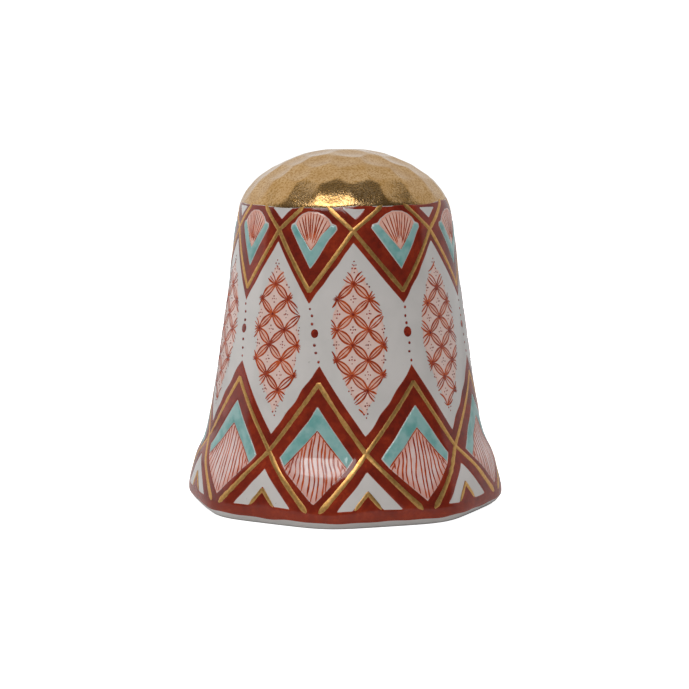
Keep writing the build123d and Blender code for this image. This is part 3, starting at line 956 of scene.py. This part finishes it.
def lattice():
    """The brushwork of the ovals: petals between the nodes of a lattice, and dots in its voids."""
    lines, spots, nodes, washes = [], [], [], []
    for i in range(SIDES):
        upper = UPPER[i][0]
        slide, top = 0.0, LATTICE_TOP
        if i != FACING:
            slide = rng.uniform(-0.3, 0.3)
            top = LATTICE_TOP + rng.uniform(-0.6, 0.3)

        def place(x, y):
            """Azimuth and height of a place that is this far from the line below the crossing."""
            return upper + np.degrees((x + slide - LATTICE_DRIFT * (top - y)) / radius(0.0, y)), y

        def room(x, y):
            """How far a place is inside the oval."""
            aside = np.radians(place(x, y)[0] - panel_axis(i, y)) * radius(0.0, y)
            return panel_half(y) - np.abs(aside)

        def petal(ax, ay, bx, by):
            """A wash between two nodes, with lines along its edges and its middle."""
            start = np.array([ax, ay])
            along = np.array([bx - ax, by - ay])
            aside = np.array([-along[1], along[0]])
            reach = rng.uniform(-0.16, 0.0)
            t = PETAL_SHARES
            xy = start + t[:, None] * along
            if (room(xy[:, 0], xy[:, 1]) > 0.05).all():
                wash = np.array([place(*at) for at in xy])
                washes.append(np.column_stack([wash, 4.4 * PETAL * math.hypot(*along) * t * (1 - t)]))
            t = LINE_SHARES
            for bulge in (-PETAL, 0.0, PETAL):
                bend = 4 * bulge * rng.uniform(0.8, 1.25) * t * (1 - t)
                xy = start + t[:, None] * along + bend[:, None] * aside
                shown = (room(xy[:, 0], xy[:, 1]) > reach) & (panel_half(xy[:, 1]) > TIP_HALF)
                for run in np.split(np.arange(len(t)), np.where(~shown)[0]):
                    run = run[shown[run]]
                    if len(run) > 3:
                        width = rng.uniform(0.11, 0.155) if bulge else 0.1
                        lines.append(stroke([place(*xy[k]) for k in run], width, taper=0.55))

        def burst(x, y):
            """A node: short strokes that radiate from a pooled dot."""
            nodes.append((*place(x, y), rng.uniform(0.13, 0.18)))
            turns = 360 / BURST * np.arange(BURST) + rng.uniform(-5, 5, BURST)
            for turn in np.radians(turns):
                length = rng.uniform(0.22, 0.36)
                ends = [place(x + d * math.cos(turn), y + d * math.sin(turn))
                        for d in (0.03, length / 2, length)]
                lines.append(stroke(ends, rng.uniform(0.07, 0.1), step=0.06, taper=0.2))

        for row in LATTICE_ROWS:
            for column in LATTICE_COLUMNS:
                x, y = column * LATTICE_ACROSS, top - row * LATTICE_UP
                if (row + column) % 2:
                    for dx, dy in QUINCUNX:
                        dx, dy = dx + rng.uniform(-0.04, 0.04), dy + rng.uniform(-0.04, 0.04)
                        if room(x + dx, y + dy) > 0.02:
                            spots.append((*place(x + dx, y + dy), rng.uniform(0.045, 0.075)))
                    continue
                petal(x, y, x + LATTICE_ACROSS, y - LATTICE_UP)
                petal(x, y, x - LATTICE_ACROSS, y - LATTICE_UP)
                if room(x, y) > -0.08 and panel_half(y) > NODE_HALF:
                    burst(x, y)
        for y, x in END_DOTS:
            azimuth = panel_axis(i, y) + np.degrees(x / radius(0.0, y))
            spots.append((azimuth, y, rng.uniform(0.05, 0.075)))
    return lines, spots, nodes, washes


# The beads of a string: height and radius.
BEADS = ((16.24, 0.1), (15.65, 0.11), (15.07, 0.12), (14.38, 0.34), (13.54, 0.12), (12.93, 0.11),
         (12.3, 0.1))


def beads():
    """Strings of beads from the upper zigzag's tips to the lower one's."""
    made = []
    for upper, lower in zip(UPPER_UNITS, LOWER_UNITS):
        for i, (height, size) in enumerate(BEADS):
            share = (i + 1) / (len(BEADS) + 1)
            azimuth = upper[1] + (lower[1] - upper[1]) * share + rng.uniform(-0.4, 0.4)
            made.append((azimuth, height + rng.uniform(-0.05, 0.05), size * rng.uniform(0.9, 1.1)))
    return made


# Strokes and dots are given the lift of their edges and of their crests.
porcelain_body([PORCELAIN, BISCUIT])
gilt_dome(SPONGED)
draw_pattern()
brushwork("fan_ribs", fan_lines(), 0.008, 0.024, THIN, FINE, "iron_red")
brushwork("kite_hatching", kite_lines(), 0.008, 0.024, THIN, FINE, "iron_red")
lattice_lines, lattice_spots, lattice_nodes, petal_washes = lattice()
brushwork("oval_petals", petal_washes, 0.008, 0.012, THIN, PETAL_WASH, "salmon_wash")
brushwork("oval_lattice", lattice_lines, 0.01, 0.028, THIN, FINE, "iron_red")
dots("oval_dots", lattice_spots, 0.006, 0.028, POOLED, "iron_red")
dots("oval_nodes", lattice_nodes, 0.012, 0.038, POOLED, "iron_red")
dots("red_beads", beads(), 0.0, 0.035, POOLED, "iron_red", ["bead_strings"], 14)


# ---- the studio, in metres ----
FLOOR_LOW = (-0.4, -0.062, 0)
FLOOR_HIGH = (0.4, 0.5, 0)
FLOOR_OVERLAP = 0.05           # how far the floor reaches under the foot, in mm
FLOOR_COLUMNS = 360
FLOOR_GLOW = 1.0               # only the camera sees it, so it lights nothing
# The tent fades in between two values of Y, and its sides differ. The camera sees its own white.
TENT_START, TENT_FULL = -0.08, 0.04
DARK, LIT = 0.12, 0.84
LEFT, RIGHT = 1.15, 0.8
BACKDROP = 1.1
LAMP_SIZE, LAMP_POWER = (0.2, 0.14), 0.46
LAMP_AZIMUTH, LAMP_ELEVATION, LAMP_DISTANCE = -15.0, 44.0, 0.3
LAMP_AIM = 0.012               # height on the axis
LENS, SENSOR = 96.9, 36.0
CAMERA_PLACE = (0, -0.1473, 0.0301)
CAMERA_DROP = 6.84             # degrees below level


def floor_mesh():
    """A rectangle with a hole that the foot covers, so that the underside can be seen from below."""
    columns = FLOOR_COLUMNS
    az = 360 * np.arange(columns) / columns + 0.1      # off the axes, where the division would fail
    hole = cylindrical(az, radius(az, FOOT_EDGE) - ROUNDING - FLOOR_OVERLAP, 0) * MM
    aim = cylindrical(az, 1.0, 0)
    reach = np.min(np.where(aim > 0, FLOOR_HIGH, FLOOR_LOW)[:, :2] / aim[:, :2], axis=1)
    mesh = bpy.data.meshes.new("floor")
    mesh.from_pydata(np.vstack([hole, aim * reach[:, None]]).tolist(), [], quads(2, columns, flip=True))
    mesh.materials.append(floor_white())
    return mesh


def studio():
    """A pale floor, a white tent that is open towards the viewer, and one soft window of light."""
    floor = bpy.data.objects.new("floor", floor_mesh())
    bpy.context.scene.collection.objects.link(floor)

    world = bpy.data.worlds.new("tent")
    world.use_nodes = True
    tree = world.node_tree

    def add(kind, **settings):
        node = tree.nodes.new("ShaderNode" + kind)
        for key, value in settings.items():
            setattr(node, key, value)
        return node

    def ranged(value, kind, low, high, to_low, to_high):
        node = add("MapRange", interpolation_type=kind)
        tree.links.new(value, node.inputs["Value"])
        for name, number in zip(("From Min", "From Max", "To Min", "To Max"), (low, high, to_low, to_high)):
            node.inputs[name].default_value = number
        return node.outputs[0]

    axes = add("SeparateXYZ")
    tree.links.new(add("TexCoord").outputs["Generated"], axes.inputs[0])
    tent = ranged(axes.outputs["Y"], "SMOOTHSTEP", TENT_START, TENT_FULL, DARK, LIT)
    sides = ranged(axes.outputs["X"], "LINEAR", -1.0, 1.0, LEFT, RIGHT)
    both = add("Math", operation="MULTIPLY")
    tree.links.new(tent, both.inputs[0])
    tree.links.new(sides, both.inputs[1])
    seen = add("Mix")
    tree.links.new(add("LightPath").outputs["Is Camera Ray"], seen.inputs[0])
    tree.links.new(both.outputs[0], seen.inputs[2])
    seen.inputs[3].default_value = BACKDROP
    tree.links.new(seen.outputs[0], tree.nodes["Background"].inputs["Strength"])
    tree.nodes["Background"].inputs["Color"].default_value = (1.0, 1.0, 1.0, 1.0)
    bpy.context.scene.world = world

    lamp = bpy.data.lights.new("window", "AREA")
    lamp.shape = "RECTANGLE"
    lamp.size, lamp.size_y = LAMP_SIZE
    lamp.energy = LAMP_POWER
    window = bpy.data.objects.new("window", lamp)
    azimuth, elevation = math.radians(LAMP_AZIMUTH), math.radians(LAMP_ELEVATION)
    level = LAMP_DISTANCE * math.cos(elevation)
    window.location = (level * math.sin(azimuth), -level * math.cos(azimuth),
                       LAMP_AIM + LAMP_DISTANCE * math.sin(elevation))
    aim = Vector((0, 0, LAMP_AIM)) - window.location
    window.rotation_euler = aim.to_track_quat("-Z", "Y").to_euler()
    bpy.context.scene.collection.objects.link(window)


def camera():
    lens = bpy.data.cameras.new("camera")
    lens.sensor_width = SENSOR
    lens.lens = LENS
    made = bpy.data.objects.new("camera", lens)
    made.location = CAMERA_PLACE
    made.rotation_euler = (math.radians(90 - CAMERA_DROP), 0, 0)
    bpy.context.scene.collection.objects.link(made)
    bpy.context.scene.camera = made


studio()
camera()
bpy.context.scene.view_settings.view_transform = "Standard"
